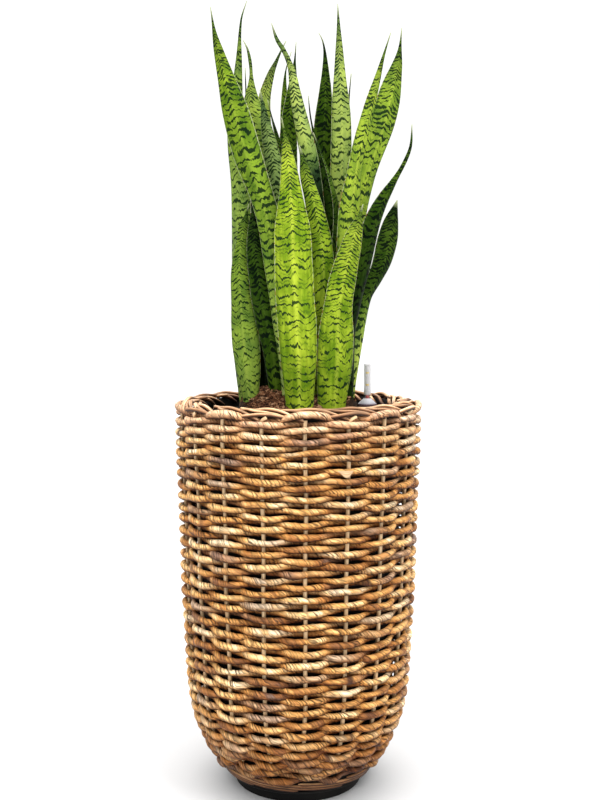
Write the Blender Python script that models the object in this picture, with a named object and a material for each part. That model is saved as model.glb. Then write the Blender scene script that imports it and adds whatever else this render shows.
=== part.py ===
# Snake plant in a tall woven basket, built from its separate pieces.
# The basket is a ring of twisted strands woven over and under upright stakes. A black
# plastic liner stands in it and shows below as the foot. A hung insert holds the clay
# granules, the leaves and the water gauge. Sizes are in millimetres, turned into metres
# where a mesh is made. Angles round the basket start at the front (-Y) and grow to +X.

import math

import bmesh
import bpy
from mathutils import Matrix, Vector, noise

MM = 0.001
GAP = 0.3                 # air left between pieces that touch

# Woven basket
BASKET_OUTLINE = (        # height, outer radius over the crests of the strands
    (34, 128), (50, 137.5), (70, 148), (95, 159), (125, 167.5), (160, 172.5),
    (210, 176), (300, 181.5), (400, 185), (500, 189.5), (556, 191),
)
OUTSIDE_ONLY = (125, 210, 400, 500)      # heights that the plainer inner face leaves out
BASKET_WALL = 22          # from the crests to the inner face
STAKES = 18
FIRST_STAKE = 3.5         # degrees
ROWS = 35
STAKE_DIP = 6.0           # how far a bare stake lies behind the crests of the strands
SPAN_DIP = 3.5            # how far a strand lies back halfway between two stakes
SEAM_DIP = 7.5            # seam between two rows

# Borders
RIM_LOW, RIM_HIGH = 556 + GAP, 586
RIM_RADIUS, RIM_HALF_WIDTH = 176, 13.2
RIM_WAVE = 1.9
FOOT_LOW, FOOT_HIGH = 20, 34 - GAP
FOOT_INNER, FOOT_OUTER = 104, 121
FOOT_RODS = 4

# Liner, insert and soil
FOOT_DISC_RADIUS = 96
LEDGE_HEIGHT = 559
LINER_RADIUS = 154        # inside, at the ledge
DECK_THICK = 3
DECK_LOW = LEDGE_HEIGHT + GAP
DECK_HIGH = DECK_LOW + DECK_THICK
WELL_TOP, WELL_BOTTOM = 92.5, 84.0
WELL_WALL = 3
WELL_FLOOR = 360
SOIL_EDGE, SOIL_CROWN = 566, 605
SOIL_BUMP = 1.5
WELL_SIDES = 28

# Water gauge
GAUGE_X, GAUGE_Y = 109, 20
GAUGE_TOP = 638
SOCKET_RADIUS = 13

# Leaves
LEAF_ROOT = 545
ROOT_HALF, TIP_HALF = 2.9, 0.9      # half thickness at the root and at the awl point
AWL_WIDTH = 2.4
HOLE_ROOM = 0.45
HOLE_TOP = 612

for old in list(bpy.data.objects):
    bpy.data.objects.remove(old, do_unlink=True)


def finish(name):
    """A plain finish: colour, roughness and metallic value of one sub-part."""
    colour, rough = {
        "weave": ((0.50, 0.31, 0.15), 0.6),
        "rods": ((0.33, 0.19, 0.11), 0.5),
        "plastic": ((0.015, 0.015, 0.017), 0.45),
        "clay": ((0.20, 0.085, 0.045), 0.9),
        "clear": ((0.78, 0.80, 0.80), 0.15),
        "float": ((0.05, 0.03, 0.04), 0.4),
        "red": ((0.55, 0.03, 0.02), 0.4),
        "leaf": ((0.20, 0.36, 0.05), 0.45),
    }[name]
    material = bpy.data.materials.get(name)
    if material is None:
        material = bpy.data.materials.new(name)
        material.use_nodes = True
        shader = material.node_tree.nodes["Principled BSDF"]
        shader.inputs["Base Color"].default_value = (*colour, 1)
        shader.inputs["Roughness"].default_value = rough
        shader.inputs["Metallic"].default_value = 0.0
    return material


def make_object(name, bm, material, smooth_angle=35):
    """Puts a finished bmesh in the scene as one named piece."""
    bmesh.ops.recalc_face_normals(bm, faces=bm.faces)
    mesh = bpy.data.meshes.new(name)
    bm.to_mesh(mesh)
    bm.free()
    mesh.shade_smooth()
    mesh.set_sharp_from_angle(angle=math.radians(smooth_angle))
    mesh.materials.append(finish(material))
    piece = bpy.data.objects.new(name, mesh)
    bpy.context.scene.collection.objects.link(piece)
    return piece


def round_point(radius, degrees, height):
    """A point at an angle round the basket's axis, in metres."""
    turn = math.radians(degrees)
    return Vector((radius * math.sin(turn), -radius * math.cos(turn), height)) * MM


def skin(rings, cyclic, flip=()):
    """Skins rings of equal length with triangles, split the other way in the columns of flip."""
    bm = bmesh.new()
    loops = [[bm.verts.new(p) for p in ring] for ring in rings]
    count = len(rings[0])
    last = len(loops) if cyclic else len(loops) - 1
    for i in range(last):
        low, high = loops[i], loops[(i + 1) % len(loops)]
        for a in range(count):
            b = (a + 1) % count
            if a in flip:
                bm.faces.new((low[a], low[b], high[a]))
                bm.faces.new((low[b], high[b], high[a]))
            else:
                bm.faces.new((low[a], low[b], high[b]))
                bm.faces.new((low[a], high[b], high[a]))
    if not cyclic:
        bm.faces.new(loops[0])
        bm.faces.new(loops[-1])
    return bm


def turned(outline, sides, centre=(0, 0)):
    """Spins an outline of (radius, height) points about an upright axis."""
    bm = bmesh.new()
    on_axis = outline[0][0] == 0
    verts = [bm.verts.new((r * MM, 0, z * MM)) for r, z in outline]
    edges = [bm.edges.new(pair) for pair in zip(verts, verts[1:])]
    if not on_axis:
        edges.append(bm.edges.new((verts[-1], verts[0])))
    bmesh.ops.spin(
        bm, geom=verts + edges, axis=(0, 0, 1), cent=(0, 0, 0),
        angle=math.tau, steps=sides, use_merge=True,
    )
    bmesh.ops.remove_doubles(bm, verts=bm.verts, dist=1e-6)
    shift = Matrix.Translation(Vector((centre[0], centre[1], 0)) * MM)
    bmesh.ops.transform(bm, matrix=shift, verts=bm.verts)
    return bm


def outline_radius(outline, height):
    """The radius of an outline at a height, on a smooth curve through its points."""
    last = len(outline) - 1
    i = 0
    while i < last - 1 and height > outline[i + 1][0]:
        i += 1
    before, start = outline[max(i - 1, 0)], outline[i]
    end, after = outline[i + 1], outline[min(i + 2, last)]
    span = end[0] - start[0]
    t = min(max((height - start[0]) / span, 0), 1)
    slope_in = (end[1] - before[1]) / (end[0] - before[0]) * span
    slope_out = (after[1] - start[1]) / (after[0] - start[0]) * span
    return (
        (2 * t**3 - 3 * t**2 + 1) * start[1] + (t**3 - 2 * t**2 + t) * slope_in
        + (3 * t**2 - 2 * t**3) * end[1] + (t**3 - t**2) * slope_out
    )


def row_heights(count):
    """Heights that divide the basket's outline into equal lengths of wall."""
    low, high = BASKET_OUTLINE[0][0], BASKET_OUTLINE[-1][0]
    steps = 400
    heights = [low + (high - low) * i / steps for i in range(steps + 1)]
    radii = [outline_radius(BASKET_OUTLINE, h) for h in heights]
    lengths = [0]
    for i in range(steps):
        step = math.hypot(heights[i + 1] - heights[i], radii[i + 1] - radii[i])
        lengths.append(lengths[-1] + step)
    found = []
    for k in range(count + 1):
        want = lengths[-1] * k / count
        i = max(j for j in range(steps + 1) if lengths[j] <= want + 1e-9)
        found.append(heights[i])
    return found


def make_basket():
    """The woven wall: each row passes in front of one stake and behind the next."""
    columns = 2 * STAKES
    angles = [FIRST_STAKE + 360 * c / columns for c in range(columns)]
    rings = []
    for level, height in enumerate(row_heights(2 * ROWS)):
        outer = outline_radius(BASKET_OUTLINE, height)
        row, crest = divmod(level, 2)
        ring = []
        for column, degrees in enumerate(angles):
            stake, between = divmod(column, 2)
            dip = SEAM_DIP
            if crest:
                over = (stake + row) % 2 == 0
                dip = SPAN_DIP if between else (0 if over else STAKE_DIP)
            ring.append(round_point(outer - dip, degrees, height))
        rings.append(ring)
    for height, outer in reversed(BASKET_OUTLINE):
        if height not in OUTSIDE_ONLY:
            rings.append([round_point(outer - BASKET_WALL, d, height) for d in angles])
    make_object("basket", skin(rings, cyclic=True), "weave")


def make_rim_border():
    """Stake ends and rods plaited over the rim: one slanting wave for each stake."""
    columns, points = 4 * STAKES, 8
    middle = (RIM_LOW + RIM_HIGH) / 2
    rings = []
    for k in range(points):
        around = math.tau * (k + 0.5) / points
        ring = []
        for c in range(columns):
            degrees = FIRST_STAKE + 360 * c / columns
            lift = RIM_WAVE * math.cos(math.radians(STAKES * degrees) - 2 * around)
            radius = RIM_RADIUS - (RIM_HALF_WIDTH + lift) * math.cos(around)
            height = middle - ((RIM_HIGH - RIM_LOW) / 2 + lift) * math.sin(around)
            ring.append(round_point(radius, degrees, max(height, RIM_LOW)))
        rings.append(ring)
    make_object("rim_border", skin(rings, cyclic=True), "rods")


def make_foot_border():
    """Thin rods laid side by side that close the weave at the foot."""
    columns = 32
    section = [(FOOT_INNER, FOOT_LOW), (FOOT_INNER + 10, FOOT_LOW)]
    for rod in range(FOOT_RODS):
        share = (rod + 0.5) / FOOT_RODS
        height = FOOT_LOW + (FOOT_HIGH - FOOT_LOW) * share
        radius = FOOT_OUTER - 7 + 7 * share
        section += [(radius, height), (radius - 1.2, height + 1.6)]
    section[-1] = (FOOT_OUTER - 2, FOOT_HIGH)
    section.append((FOOT_INNER, FOOT_HIGH))
    rings = [[round_point(r, 360 * c / columns, z) for c in range(columns)] for r, z in section]
    make_object("foot_border", skin(rings, cyclic=True), "rods")


def make_liner():
    """Black plastic pot that fills the basket. Its foot stands on the floor under the weave."""
    foot, flange, neck = FOOT_DISC_RADIUS, FOOT_INNER + 3.5, FOOT_INNER - 0.4
    under = FOOT_LOW - GAP
    outside = [
        (0, 0), (foot, 0), (foot, under - 5), (flange, under - 3), (flange, under), (neck, under),
        (neck, 34), (115, 50.5), (125.2, 71), (136, 96), (146.5, 160), (152.5, 300),
        (158.6, 556), (161, 568), (161, 578),
    ]
    inside = [
        (157.5, 578), (LINER_RADIUS, 566), (LINER_RADIUS, LEDGE_HEIGHT), (148, LEDGE_HEIGHT),
        (148, 556),
        (153.5, 549), (148.5, 300), (142.5, 163), (132, 99), (121.5, 75), (100, 36), (99.5, 20),
        (92, 12), (92, 4), (0, 4),
    ]
    make_object("liner", turned(outside + inside, 32), "plastic")


def boolean(target, cutters, operation):
    """Applies one Boolean with a collection of cutters, then removes them."""
    group = bpy.data.collections.new("cutters")
    for cutter in cutters:
        bpy.context.scene.collection.objects.unlink(cutter)
        group.objects.link(cutter)
        cutter.hide_render = True
        cutter.display_type = "WIRE"
    bpy.context.scene.collection.children.link(group)
    change = target.modifiers.new("cut", "BOOLEAN")
    change.operation = operation
    change.solver = "EXACT"
    change.operand_type = "COLLECTION"
    change.collection = group
    depsgraph = bpy.context.evaluated_depsgraph_get()
    result = bpy.data.meshes.new_from_object(target.evaluated_get(depsgraph))
    target.modifiers.clear()
    result.name = target.name
    target.data = result
    for cutter in list(group.objects):
        bpy.data.objects.remove(cutter, do_unlink=True)
    bpy.data.collections.remove(group)


def make_insert():
    """Hung culture pot: a flat deck on the liner's ledge, a well for the soil, a gauge socket."""
    floor = WELL_FLOOR
    edge = LINER_RADIUS - 0.8
    deck = [(0, DECK_LOW), (edge, DECK_LOW), (edge, DECK_HIGH), (0, DECK_HIGH)]
    under = DECK_HIGH - 0.5
    well = [(0, floor), (WELL_BOTTOM + WELL_WALL, floor), (WELL_TOP + WELL_WALL, under), (0, under)]
    tube = SOCKET_RADIUS + WELL_WALL
    socket = [(0, floor + 4), (tube, floor + 4), (tube, under - 0.5), (0, under - 0.5)]
    gauge = (GAUGE_X, GAUGE_Y)
    insert = make_object("insert", turned(deck, WELL_SIDES), "plastic")
    solids = [
        make_object("well", turned(well, WELL_SIDES), "plastic"),
        make_object("socket", turned(socket, 20, gauge), "plastic"),
    ]
    boolean(insert, solids, "UNION")
    inside, above = floor + WELL_WALL, DECK_HIGH + 9
    room = [(0, inside), (WELL_BOTTOM, inside), (WELL_TOP, DECK_HIGH), (WELL_TOP, above), (0, above)]
    bore = [(0, inside + 5), (SOCKET_RADIUS, inside + 5), (SOCKET_RADIUS, above), (0, above)]
    hollows = [
        make_object("room", turned(room, WELL_SIDES), "plastic"),
        make_object("bore", turned(bore, 20, gauge), "plastic"),
    ]
    boolean(insert, hollows, "DIFFERENCE")


# One row for each leaf: where it leaves the soil's floor (x, y), the points its midrib passes
# on the way up (x, y, z), its widest width, the share of its length where the taper starts and
# where the thin awl point starts, how blunt the taper is, and the way its convex side faces at
# the root and at the tip, in degrees from the front.
LEAVES = {
    "leaf_01": ((-5, -48), ((-15, -60, 671), (-41, -73, 837), (-54, -72, 892), (-79, -66, 965),
                (-108, -59, 1070), (-125, -57, 1131), (-134, -55, 1181)), 40, 0.72, 0.96, 1.2, (-5, -15)),
    "leaf_02": ((-60, 46), ((-57, 48, 739), (-68, 61, 900), (-83, 75, 1048), (-86, 82, 1117)),
                31, 0.60, 0.93, 1.2, (-128, -135)),
    "leaf_03": ((-77, -3), ((-87, -7, 677), (-88, 1, 832), (-91, 6, 921), (-97, 9, 1005), (-97, 9, 1052),
                (-93, 9, 1114), (-89, 9, 1177), (-80, 9, 1207)), 34, 0.62, 0.88, 1.1, (-45, -20)),
    "leaf_04": ((-69, -30), ((-77, -32, 663), (-83, -33, 730), (-87, -33, 785), (-84, -32, 838),
                (-75, -31, 886)), 42, 0.37, 0.97, 2.0, (-14, -10)),
    "leaf_05": ((-28, -22), ((-38, -44, 663), (-52, -50, 735), (-59, -50, 800), (-62, -46, 861),
                (-64, -42, 906)), 37, 0.45, 0.96, 1.6, (-10, -5)),
    "leaf_06": ((3, -73), ((3, -77, 612), (1, -84, 675), (-5, -92, 760), (-9, -97, 857), (-12, -97, 916),
                (-17, -97, 972), (-22, -97, 1007)), 58, 0.62, 0.95, 1.1, (0, 0)),
    "leaf_07": ((30, -38), ((34, -48, 665), (38, -60, 745), (36, -67, 814), (28, -72, 869), (17, -73, 918),
                (5, -70, 970)), 38, 0.56, 0.97, 1.8, (5, 10)),
    "leaf_08": ((50, -60), ((55, -71, 655), (58, -81, 715), (64, -89, 760), (78, -99, 821), (89, -105, 856),
                (96, -108, 879)), 53, 0.30, 0.97, 1.6, (15, 5)),
    "leaf_09": ((52, -18), ((62, -22, 640), (71, -32, 715), (76, -46, 820), (80, -53, 889), (88, -59, 957),
                (103, -62, 1020), (120, -65, 1072), (131, -64, 1107), (140, -64, 1140)),
                38, 0.60, 0.94, 1.2, (10, 35)),
    "leaf_10": ((72, 14), ((79, 1, 690), (85, -9, 790), (91, -15, 860), (103, -18, 921), (122, -18, 981),
                (136, -16, 1034), (147, -14, 1074), (155, -11, 1113), (161, -6, 1161)),
                37, 0.77, 0.94, 1.8, (35, 15)),
    "leaf_11": ((46, 22), ((52, 22, 660), (60, 22, 755), (66, 23, 865), (69, 27, 1006), (67, 28, 1073),
                (63, 30, 1150), (62, 31, 1208)), 33, 0.72, 0.97, 1.0, (20, 0)),
    "leaf_12": ((24, 42), ((36, 46, 720), (43, 51, 802), (44, 61, 916), (42, 70, 998), (45, 80, 1088),
                (44, 87, 1141), (39, 90, 1164), (33, 91, 1176)), 30, 0.74, 0.95, 1.3, (160, 168)),
    "leaf_13": ((14, 8), ((22, 0, 661), (31, -12, 785), (29, -14, 880), (19, -14, 948), (7, -13, 1005),
                (-4, -10, 1062), (-12, -8, 1098), (-24, -8, 1125), (-35, -8, 1143), (-42, -8, 1168)),
                24, 0.70, 0.87, 1.2, (15, -20)),
    "leaf_14": ((-5, 31), ((-4, 34, 700), (-8, 41, 831), (-15, 46, 953), (-15, 51, 1014), (-9, 56, 1076),
                (-5, 61, 1126), (-3, 64, 1155)), 28, 0.78, 0.97, 1.2, (180, 190)),
    "leaf_15": ((-20, 54), ((-18, 64, 750), (-19, 93, 969), (-23, 106, 1052), (-21, 113, 1114),
                (-11, 117, 1151)), 29, 0.75, 0.95, 1.5, (-140, -130)),
    "leaf_16": ((-62, 22), ((-61, 24, 660), (-60, 38, 835), (-59, 53, 984), (-54, 60, 1061), (-44, 65, 1103),
                (-35, 65, 1127), (-28, 65, 1142), (-20, 64, 1157)), 28, 0.74, 0.95, 1.2, (-120, -128)),
    "leaf_17": ((-44, 8), ((-42, -1, 720), (-40, -7, 850), (-44, -9, 920), (-57, -9, 979), (-70, -7, 1041),
                (-74, -6, 1096), (-79, -6, 1127), (-86, -5, 1142)), 28, 0.78, 0.91, 1.0, (-30, -10)),
    "leaf_18": ((-12, -4), ((-15, -19, 700), (-21, -31, 800), (-29, -36, 880), (-38, -37, 949),
                (-48, -38, 1009), (-54, -39, 1044), (-57, -39, 1059)), 24, 0.68, 0.96, 1.1, (-40, 15)),
    "leaf_19": ((-40, 28), ((-36, 25, 700), (-30, 22, 830), (-24, 24, 927), (-31, 27, 983), (-41, 30, 1026),
                (-48, 32, 1056)), 25, 0.72, 0.96, 1.2, (-145, -140)),
    "leaf_20": ((42, 2), ((50, 4, 700), (56, 2, 790), (53, 5, 860), (42, 7, 923), (29, 10, 981),
                (20, 11, 1023), (16, 12, 1059)), 26, 0.65, 0.93, 1.2, (30, 10)),
    "leaf_21": ((20, -14), ((34, -20, 670), (52, -28, 754), (60, -32, 830), (59, -33, 880), (49, -35, 924),
                (37, -35, 959), (23, -37, 994)), 20, 0.60, 0.95, 1.2, (30, 50)),
    "leaf_22": ((55, 50), ((62, 58, 720), (69, 71, 831), (78, 93, 986), (84, 106, 1070), (88, 113, 1114)),
                27, 0.70, 0.95, 1.2, (128, 125)),
    "leaf_23": ((76, -32), ((77, -38, 625), (78, -46, 690), (85, -53, 735), (99, -57, 795), (110, -58, 848),
                (124, -59, 884), (142, -57, 915), (161, -55, 945), (172, -54, 971), (174, -53, 1004)),
                25, 0.60, 0.82, 1.3, (45, 20)),
    "leaf_24": ((83, 0), ((88, -2, 622), (96, -6, 677), (105, -11, 739), (119, -14, 770), (131, -16, 797),
                (139, -17, 830), (146, -17, 862), (153, -16, 893)), 29, 0.75, 0.98, 2.2, (75, 15)),
}
LEAF_STATIONS = (0, 0.07, 0.16, 0.28, 0.41, 0.54, 0.66, 0.76, 0.84, 0.90, 0.95, 1.0)
# Places across the blade, and the face each is on: 1 convex, -1 hollow, 0 the margin
BLADE = ((-1, 0), (-0.55, 1), (0, 1), (0.55, 1), (1, 0), (0.55, -1), (0, -1), (-0.55, -1))
HOLE = (
    (-1, 1), (-0.55, 1), (0, 1), (0.55, 1), (1, 1),
    (1, -1), (0.55, -1), (0, -1), (-0.55, -1), (-1, -1),
)
BLADE_BACK, HOLE_BACK = range(4, 8), range(5, 10)


def midrib(points, share):
    """Point and direction at a share of the length of a smooth curve through the points."""
    spans = [(b - a).length for a, b in zip(points, points[1:])]
    want = share * sum(spans)
    i = 0
    while i < len(spans) - 1 and want > spans[i]:
        want -= spans[i]
        i += 1
    t = min(want / spans[i], 1)
    start, end = points[i], points[i + 1]
    before = points[i - 1] if i else start - (end - start)
    after = points[i + 2] if i + 2 < len(points) else end + (end - start)
    lead_in = (end - before) * (spans[i] / (end - before).length)
    lead_out = (after - start) * (spans[i] / (after - start).length)
    place = (
        (2 * t**3 - 3 * t**2 + 1) * start + (t**3 - 2 * t**2 + t) * lead_in
        + (3 * t**2 - 2 * t**3) * end + (t**3 - t**2) * lead_out
    )
    heading = (
        (6 * t**2 - 6 * t) * start + (3 * t**2 - 4 * t + 1) * lead_in
        + (6 * t - 6 * t**2) * end + (3 * t**2 - 2 * t) * lead_out
    )
    return place, heading.normalized()


def leaf_ring(spec, share, section, room=0.0):
    """One cross-section of a leaf, or of its hole: a channelled blade with thin margins."""
    root, way, wide, full, awl, blunt, turn = spec
    points = [Vector((*root, LEAF_ROOT))] + [Vector(p) for p in way]
    place, heading = midrib(points, share)
    facing = math.radians(turn[0] + (turn[1] - turn[0]) * share)
    side = Vector((math.cos(facing), math.sin(facing), 0))
    side = (side - heading * side.dot(heading)).normalized()
    outward = side.cross(heading).normalized()
    spread = 0.74 + 0.26 * math.sin(min(share / 0.35, 1) * math.pi / 2)
    taper = 1 - max(0, min((share - full) / (awl - full), 1)) ** blunt
    half_width = max(wide * spread * taper, AWL_WIDTH) / 2 + room
    half_thick = ROOT_HALF + (TIP_HALF - ROOT_HALF) * share
    arc = math.radians(52 - 28 * min(share / 0.5, 1))
    ring = []
    for u, face in section:
        swing = u * arc
        across = half_width * math.sin(swing) / math.sin(arc)
        depth = half_width * (math.cos(swing) - (1 + math.cos(arc)) / 2) / math.sin(arc)
        lens = face * (half_thick * math.sqrt(1 - u * u) + room)
        across += lens * math.sin(swing)
        depth += lens * math.cos(swing)
        ring.append((place + side * across + outward * depth) * MM)
    return ring


def make_leaf(name):
    """One leaf from its root in the soil to its awl point."""
    rings = [leaf_ring(LEAVES[name], share, BLADE) for share in LEAF_STATIONS]
    make_object(name, skin(rings, cyclic=False, flip=BLADE_BACK), "leaf", smooth_angle=60)


def leaf_hole(name):
    """A plain hole in the soil that the leaf's foot stands in, a little wider all round."""
    spec = LEAVES[name]
    rings = []
    for share in LEAF_STATIONS:
        rings.append(leaf_ring(spec, share, HOLE, HOLE_ROOM))
        if min(p.z for p in rings[-1]) > HOLE_TOP * MM:
            break
    rings[0] = [p - Vector((0, 0, HOLE_ROOM * MM)) for p in rings[0]]
    return make_object("hole", skin(rings, cyclic=False, flip=HOLE_BACK), "clay")


def soil_top(radius, degrees):
    """Height of the heaped granules, with lumps larger than the real grains."""
    heap = SOIL_EDGE + 6 + (SOIL_CROWN - SOIL_EDGE - 6) * max(0, 1 - (radius / 95) ** 4) ** 0.8
    spot = round_point(radius, degrees, 0) * 130
    return heap + SOIL_BUMP * noise.noise(spot) * 2


def make_soil():
    """Clay granules heaped in the well, with a plain hole for each leaf."""
    degrees = [90 + 360 * c / WELL_SIDES for c in range(WELL_SIDES)]
    floor = WELL_FLOOR + WELL_WALL + GAP
    rings = [
        [round_point(WELL_BOTTOM - GAP, d, floor) for d in degrees],
        [round_point(WELL_TOP - GAP, d, SOIL_EDGE) for d in degrees],
    ]
    for radius in (89, 80, 66, 50, 32, 14):
        rings.append([round_point(radius, d, soil_top(radius, d)) for d in degrees])
    soil = make_object("substrate", skin(rings, cyclic=False), "clay")
    boolean(soil, [leaf_hole(name) for name in LEAVES], "DIFFERENCE")


def make_gauge():
    """Water gauge: a clear tube on a wide clear cup, with a dark float and a red pointer inside."""
    centre = (GAUGE_X, GAUGE_Y)
    seat = DECK_HIGH + GAP
    housing = [
        (0, GAUGE_TOP), (3.6, GAUGE_TOP), (4.5, GAUGE_TOP - 1), (4.5, 585), (6.5, 583.4), (15, 577.5),
        (15, seat), (11, seat), (11, 372), (9.8, 372), (9.8, 565.2), (13.6, 566.6), (13.6, 576.4),
        (5, 582.3), (3.4, 584.6), (3.4, GAUGE_TOP - 1.5), (0, GAUGE_TOP - 1.5),
    ]
    make_object("gauge_housing", turned(housing, 12, centre), "clear")
    body = [(0, 450), (9, 450), (9, 566.5), (12.6, 567.4), (12.6, 575.6), (0, 575.6)]
    make_object("gauge_float", turned(body, 12, centre), "float")
    pointer = [(0, 575.9), (2.6, 575.9), (1.4, 579), (1.4, 588), (0.7, 589), (0, 589)]
    make_object("gauge_pointer", turned(pointer, 12, centre), "red")


make_basket()
make_rim_border()
make_foot_border()
make_liner()
make_insert()
make_soil()
make_gauge()
for leaf_name in LEAVES:
    make_leaf(leaf_name)
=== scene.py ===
# Snake plant in a tall woven basket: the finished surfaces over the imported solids.
# The sections follow the object as it is put together, from the pot inside the basket to the
# leaves and the water gauge. Angles round the basket start at the front (-Y) and grow to +X.

import math

import bmesh
import bpy
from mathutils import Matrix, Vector, noise


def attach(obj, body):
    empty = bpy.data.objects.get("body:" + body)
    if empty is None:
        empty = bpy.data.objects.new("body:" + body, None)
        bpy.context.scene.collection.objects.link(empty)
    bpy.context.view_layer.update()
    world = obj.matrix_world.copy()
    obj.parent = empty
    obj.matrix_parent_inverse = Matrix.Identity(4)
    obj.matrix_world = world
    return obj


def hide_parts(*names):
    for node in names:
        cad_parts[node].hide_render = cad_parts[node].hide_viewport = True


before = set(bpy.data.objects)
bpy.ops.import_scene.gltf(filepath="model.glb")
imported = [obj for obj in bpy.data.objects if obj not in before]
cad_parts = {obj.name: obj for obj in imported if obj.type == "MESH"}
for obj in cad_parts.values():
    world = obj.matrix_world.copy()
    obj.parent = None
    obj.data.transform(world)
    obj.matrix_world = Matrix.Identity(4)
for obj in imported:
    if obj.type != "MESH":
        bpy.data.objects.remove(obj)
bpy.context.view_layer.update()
MM = 0.001


# Liner. A black plastic pot, moulded in one piece, that fills the basket from the inside. Its
# flat foot stands on the floor below the weave, and its lip shows inside the rim.
LINER_OUTLINE = (
    (0, 0), (94.5, 0), (96, 1.5), (96, 14), (97, 15.2), (106.5, 16.6), (107.5, 17.4), (107.5, 19.7),
    (103.6, 19.7), (103.6, 34), (115, 50.5), (125.2, 71), (136, 96), (142, 128), (146.5, 160),
    (150, 230), (152.5, 300), (158.6, 556), (160.4, 563), (161, 568), (161, 577), (160.2, 578),
    (158.3, 578), (157.5, 577), (154.4, 567.5), (154, 565), (154, 559), (148, 559), (148, 556),
    (153.5, 549), (148.5, 300), (142.5, 163), (132, 99), (121.5, 75), (100, 36), (99.5, 20),
    (92, 12), (92, 4), (0, 4),
)


def plain_material(name, roughness, shine=0.5):
    """A material with its Principled shader ready to be linked."""
    paint = bpy.data.materials.new(name)
    paint.use_nodes = True
    surface = paint.node_tree.nodes["Principled BSDF"]
    surface.inputs["Roughness"].default_value = roughness
    surface.inputs["Specular IOR Level"].default_value = shine
    return paint, surface


def node(paint, kind, sockets=(), output=0, **settings):
    """Adds a shader node and gives its output. A socket takes a number or another output."""
    made = paint.node_tree.nodes.new("ShaderNode" + kind)
    for setting, value in settings.items():
        setattr(made, setting, value)
    for socket, value in dict(sockets).items():
        if isinstance(value, bpy.types.NodeSocket):
            paint.node_tree.links.new(value, made.inputs[socket])
        else:
            made.inputs[socket].default_value = value
    return made.outputs[output]


def own_place(paint):
    """The object's own coordinates."""
    return node(paint, "TexCoord", output=3)


def axis(paint, vector, number):
    """One of a vector's three numbers."""
    return node(paint, "SeparateXYZ", {0: vector}, output=number)


def mark(paint, name):
    """A number that the mesh carries at its points."""
    return node(paint, "Attribute", attribute_name=name, output=2)


def cloudy(paint, where, scale=1.0, detail=2.0, rough=0.5):
    """Noise from 0 to 1."""
    sockets = {"Vector": where, "Scale": scale, "Detail": detail, "Roughness": rough}
    return node(paint, "TexNoise", sockets)


def maths(paint, operation, *values, clamp=False):
    """A Math node on up to three numbers or outputs."""
    return node(paint, "Math", dict(enumerate(values)), operation=operation, use_clamp=clamp)


def times(paint, first, second):
    """The product of two numbers or outputs."""
    return maths(paint, "MULTIPLY", first, second)


def ramp(paint, factor, *stops):
    """A colour ramp through (place, colour) stops; a colour may be one grey number."""
    made = paint.node_tree.nodes.new("ShaderNodeValToRGB")
    paint.node_tree.links.new(factor, made.inputs[0])
    points = made.color_ramp.elements
    while len(points) < len(stops):
        points.new(0.5)
    for point, (place, colour) in zip(points, stops):
        point.position = place
        point.color = (*colour, 1) if isinstance(colour, tuple) else (colour, colour, colour, 1)
    return made.outputs[0]


def blend(paint, factor, first, second, kind="MIX"):
    """Mixes two colours."""
    made = paint.node_tree.nodes.new("ShaderNodeMix")
    made.data_type = "RGBA"
    made.blend_type = kind
    for socket, value in ((made.inputs[0], factor), (made.inputs[6], first), (made.inputs[7], second)):
        if isinstance(value, bpy.types.NodeSocket):
            paint.node_tree.links.new(value, socket)
        else:
            socket.default_value = (*value, 1) if isinstance(value, tuple) else value
    return made.outputs[2]


def tinted(paint, colour, tint, share=1.0):
    """A colour multiplied by a tint, in full or by a share."""
    return blend(paint, share, colour, tint, "MULTIPLY")


def wire(paint, output, surface, socket):
    """Links an output to a socket of the surface's shader."""
    paint.node_tree.links.new(output, surface.inputs[socket])


def relief(paint, surface, height, depth, strength=1.0):
    """Raises the surface by a height pattern, depth in metres."""
    bump = node(paint, "Bump", {"Height": height, "Distance": depth, "Strength": strength})
    wire(paint, bump, surface, "Normal")


def moulded_plastic():
    """Black plastic with a fine moulded grain and a little dust in its hollows."""
    paint, surface = plain_material("moulded_plastic", 0.5, 0.1)
    place = own_place(paint)
    dust = cloudy(paint, place, 14.0, 6.0)
    colour = ramp(paint, dust, (0.42, 0.006), (0.72, (0.020, 0.018, 0.016)))
    wire(paint, colour, surface, "Base Color")
    wire(paint, ramp(paint, dust, (0.35, 0.46), (0.7, 0.66)), surface, "Roughness")
    grain = cloudy(paint, place, 900.0, 2.0)
    relief(paint, surface, grain, 0.0002, 0.5)
    return paint


def drift(x, y, z):
    """Smooth noise from -1 to 1 at three numbers."""
    return noise.noise(Vector((x, y, z)))


def turned(outline, sides, middle=(0.0, 0.0)):
    """Spins an outline of (radius, height) points, in millimetres, round an upright axis."""
    bm = bmesh.new()
    corners = [bm.verts.new((middle[0] * MM + r * MM, middle[1] * MM, z * MM)) for r, z in outline]
    edges = [bm.edges.new(pair) for pair in zip(corners, corners[1:])]
    if outline[0][0] > 0:
        edges.append(bm.edges.new((corners[-1], corners[0])))
    bmesh.ops.spin(
        bm, geom=corners + edges, axis=(0, 0, 1), cent=(middle[0] * MM, middle[1] * MM, 0),
        angle=math.tau, steps=sides, use_merge=True,
    )
    return bm


def stand(name, data):
    """Adds an object to the scene."""
    made = bpy.data.objects.new(name, data)
    bpy.context.scene.collection.objects.link(made)
    return made


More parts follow.
